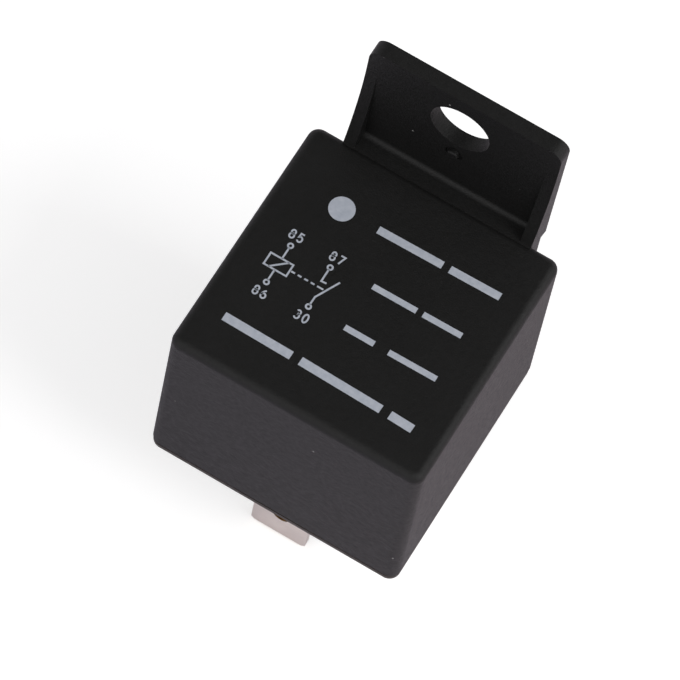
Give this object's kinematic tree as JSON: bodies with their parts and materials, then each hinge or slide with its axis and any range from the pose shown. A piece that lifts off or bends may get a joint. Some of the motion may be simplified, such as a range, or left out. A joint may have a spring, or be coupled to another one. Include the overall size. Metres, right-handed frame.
{
  "type": "automotive relay",
  "caption": "Plug-in automotive relay: square black moulded cover with a screw-on bracket at the back, flat blade terminals below, and a coil with a hinged armature inside.",
  "frame": {"origin": "centre of the seating plane, which is the flat underside of the base where the blades come out", "axes": "+Z to the top of the cover, +Y to the mounting bracket at the back, +X to the right with the bracket behind"},
  "size_m": [0.0284, 0.0315, 0.0522],
  "materials": {
    "cover_plastic": "black moulded thermoplastic, fine matte grain",
    "base_plastic": "black moulded thermoset, matte",
    "tinned_blade": "tin-plated brass sheet, satin",
    "soft_iron": "zinc-plated soft iron",
    "bobbin_plastic": "natural moulded nylon",
    "copper_wire": "enamelled copper wire",
    "coil_tape": "yellow polyester film tape",
    "spring_copper": "rolled spring copper alloy",
    "rivet_steel": "plated steel",
    "contact_silver": "silver alloy",
    "spring_steel": "drawn spring wire",
    "bare_copper": "bare braided copper"
  },
  "bodies": {
    "housing": {"cover": "cover_plastic", "base": "base_plastic", "terminal_30": "tinned_blade", "terminal_87": "tinned_blade", "terminal_85": "tinned_blade", "terminal_86": "tinned_blade", "yoke": "soft_iron", "iron_core": "soft_iron", "coil_bobbin": "bobbin_plastic", "coil_winding": "copper_wire", "winding_tape": "coil_tape", "coil_lead_85": "copper_wire", "coil_lead_86": "copper_wire", "fixed_contact": "contact_silver", "backstop": "tinned_blade", "yoke_rivet": "rivet_steel", "return_spring": "spring_steel", "copper_braid": "bare_copper"},
    "armature_set": {"armature": "soft_iron", "contact_arm": "spring_copper", "arm_rivet_left": "rivet_steel", "arm_rivet_right": "rivet_steel", "moving_contact": "contact_silver"}
  },
  "joints": [
    {"name": "armature_pivot", "type": "hinge", "parent": "housing", "child": "armature_set", "pos_m": [0, 0.00995, 0.01938], "axis": [1, 0, 0], "range_deg": [0, 3.5], "stiffness_Nm_per_rad": 0.02, "springref_deg": -5.73, "deforming": ["return_spring", "copper_braid"]}
  ]
}
